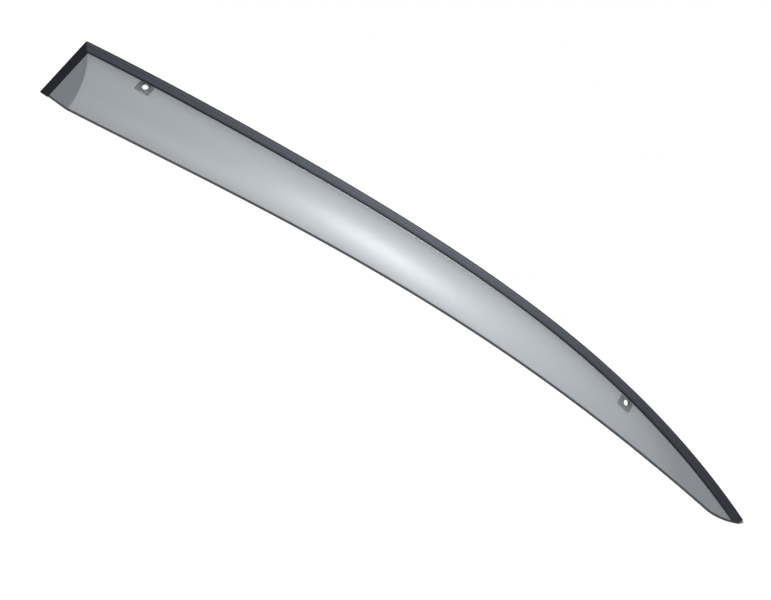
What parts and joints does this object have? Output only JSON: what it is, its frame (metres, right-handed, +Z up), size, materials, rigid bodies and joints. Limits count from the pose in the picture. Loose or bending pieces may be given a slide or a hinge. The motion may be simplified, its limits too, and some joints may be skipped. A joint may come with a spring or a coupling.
{
  "type": "window rain deflector",
  "caption": "Curved smoke-tinted window rain deflector with an upper bonding flange, a slanted blunt end, a pointed nose, dark edge trims, foam tape and round clip holes.",
  "frame": {"origin": "upper rear corner of the trim's outline, where the back of the flange meets the door frame", "axes": "+X along the chord of the upper edge from the blunt end to the nose, +Y into the car, square to that chord, +Z up"},
  "size_m": [0.9057, 0.0528, 0.1345],
  "materials": {
    "smoke_acrylic": "smoke-tinted clear moulded acrylic, glossy",
    "charcoal_trim": "satin charcoal plastic strip",
    "black_trim": "matt black plastic strip",
    "foam_tape": "black foam mounting tape"
  },
  "bodies": {
    "root": {"deflector_shell": "smoke_acrylic", "top_trim": "charcoal_trim", "rear_trim": "black_trim", "top_tape": "foam_tape", "rear_tape": "foam_tape"}
  },
  "joints": []
}
